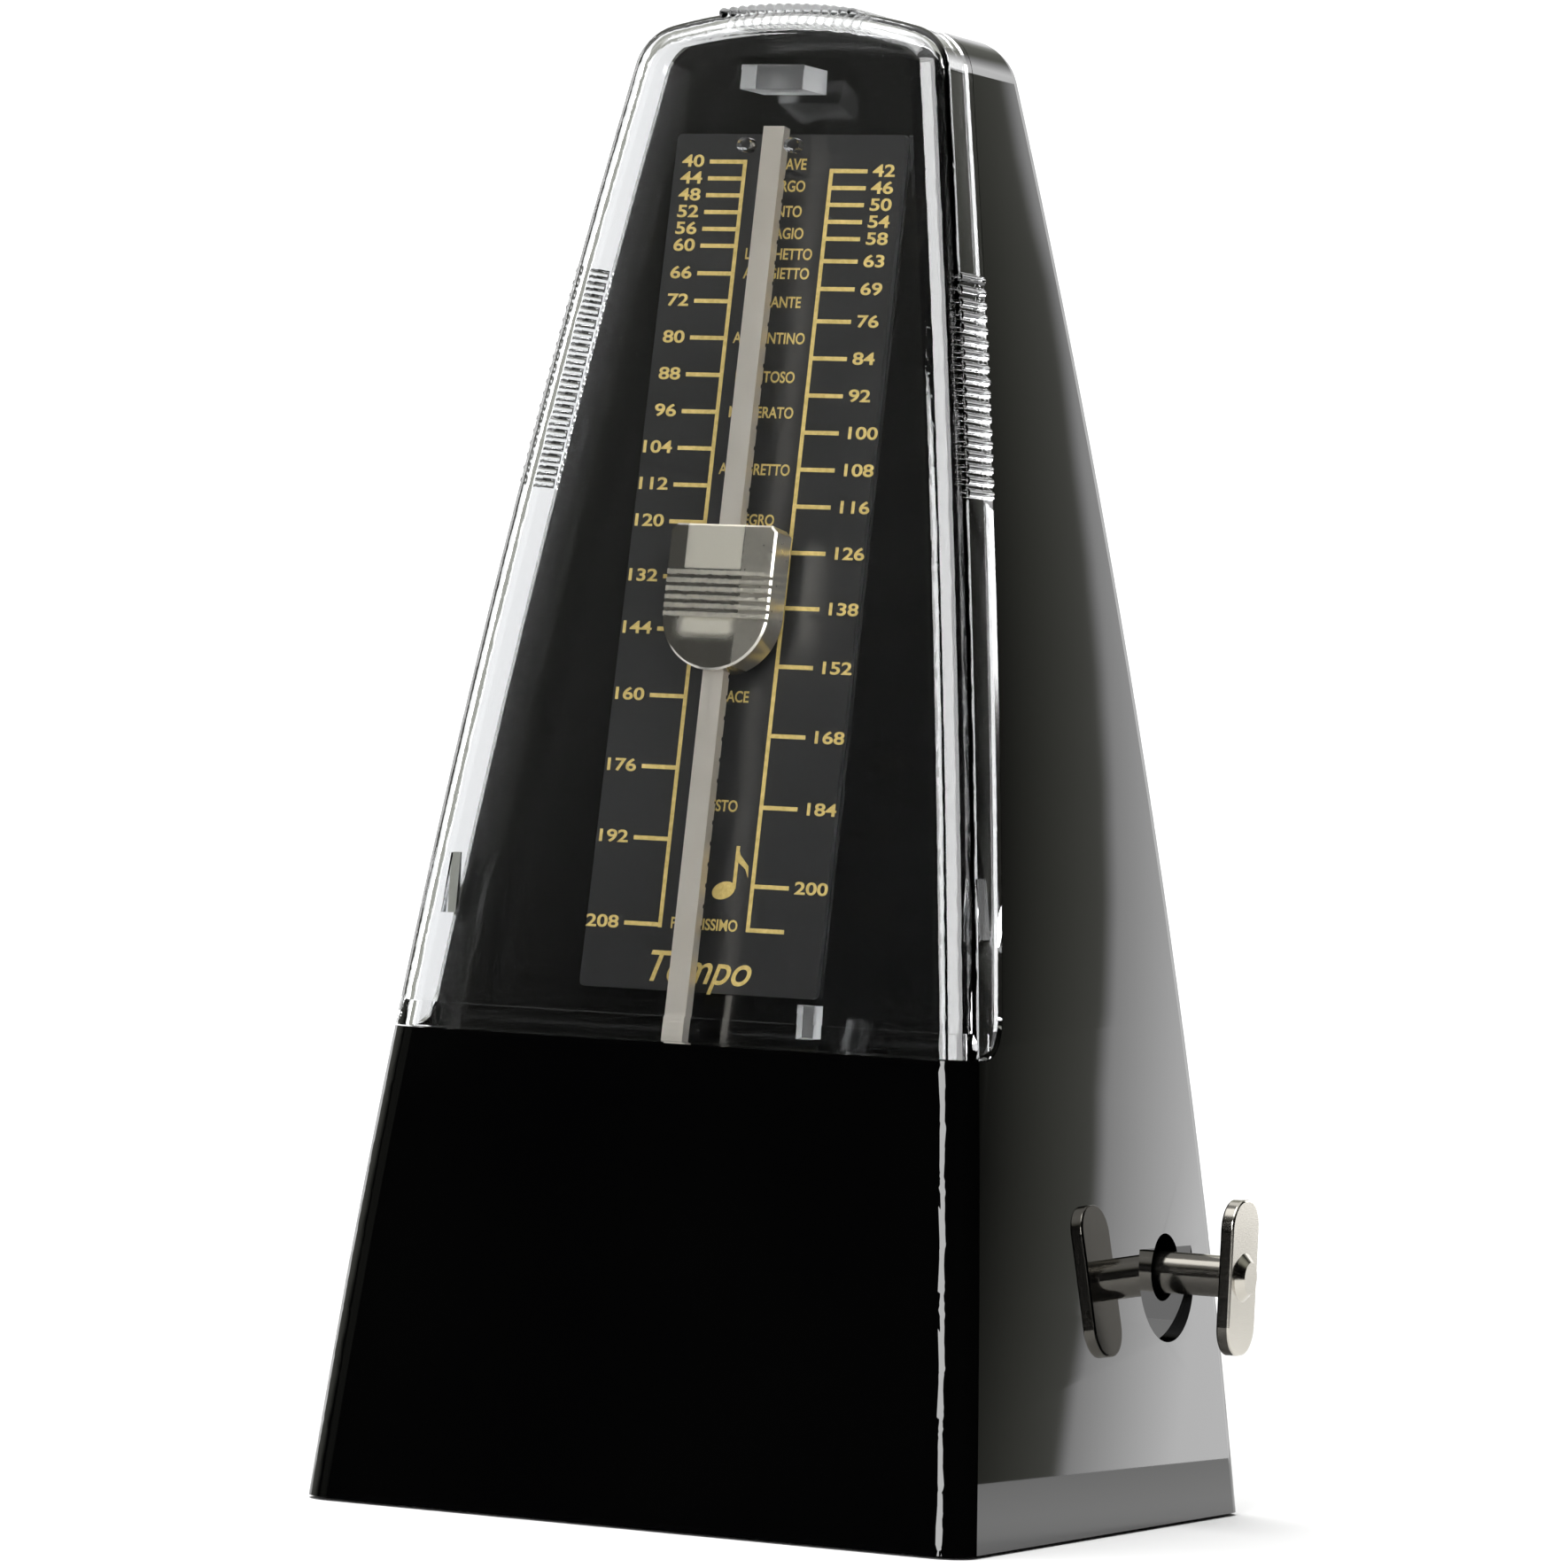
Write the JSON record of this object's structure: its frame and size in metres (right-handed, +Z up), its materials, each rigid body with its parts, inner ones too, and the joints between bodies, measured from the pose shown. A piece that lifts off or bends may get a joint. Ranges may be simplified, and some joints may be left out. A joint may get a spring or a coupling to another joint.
{
  "type": "metronome",
  "caption": "Tower metronome with a clear snap-off front cover, a swinging rod with a sliding weight, and a side winding key.",
  "frame": {"origin": "middle of the base on the surface it stands on", "axes": "+Z up, -Y out of the scale side, +X towards the winding key"},
  "size_m": [0.1184, 0.1049, 0.2237],
  "materials": {
    "case_black": "polished",
    "panel_black": "satin",
    "scale_dark": "satin",
    "cover_clear": "polished",
    "base_black": "matte",
    "screw_steel": "satin",
    "foot_rubber": "matte",
    "frame_steel": "satin",
    "pillar_brass": "satin",
    "spring_steel": "satin",
    "rod_nickel": "polished",
    "arbor_steel": "polished",
    "weight_iron": "plain",
    "wheel_brass": "satin",
    "ratchet_steel": "satin",
    "key_nickel": "polished"
  },
  "bodies": {
    "case": {"body_shell": "case_black", "inner_panel": "panel_black", "scale_plate": "scale_dark", "base_plate": "base_black", "base_screws": "screw_steel", "rubber_feet": "foot_rubber", "movement_plate_left": "frame_steel", "movement_plate_right": "frame_steel", "pillars": "pillar_brass", "pillar_screws": "screw_steel", "movement_screws": "screw_steel", "front_bearing": "frame_steel", "rear_bearing": "frame_steel", "mainspring": "spring_steel"},
    "cover": {"front_cover": "cover_clear"},
    "pendulum": {"pendulum_rod": "rod_nickel", "pendulum_arbor": "arbor_steel", "counterweight": "weight_iron", "pallets": "ratchet_steel"},
    "weight": {"bob": "rod_nickel", "bob_spring": "spring_steel"},
    "drive": {"key_wing": "key_nickel", "key_stem": "key_nickel", "winding_arbor": "arbor_steel", "great_wheel": "wheel_brass", "ratchet_wheel": "ratchet_steel", "click": "ratchet_steel", "click_spring": "spring_steel"},
    "escape": {"escape_arbor": "arbor_steel", "escape_pinion": "wheel_brass", "escape_wheel": "wheel_brass"}
  },
  "joints": [
    {"name": "cover_slide", "type": "slide", "parent": "case", "child": "cover", "axis": [0, -1, 0], "range_m": [0, 0.1]},
    {"name": "pendulum_swing", "type": "hinge", "parent": "case", "child": "pendulum", "pos_m": [-0.00135, -0.04122, 0.059], "axis": [0, 0.9903, -0.1386], "range_deg": [-6.5, 6.5]},
    {"name": "bob_slide", "type": "slide", "parent": "pendulum", "child": "weight", "axis": [0, 0.1386, 0.9903], "range_m": [-0.0597, 0.0551]},
    {"name": "key_turn", "type": "hinge", "parent": "case", "child": "drive", "pos_m": [0, 0.0243, 0.038], "axis": [1, 0, 0], "continuous": true},
    {"name": "escape_turn", "type": "hinge", "parent": "case", "child": "escape", "pos_m": [0, 0.0031, 0.03388], "axis": [1, 0, 0], "continuous": true}
  ],
  "couplings": [
    {"joint": "escape_turn", "follows": "key_turn", "ratio": -5}
  ]
}
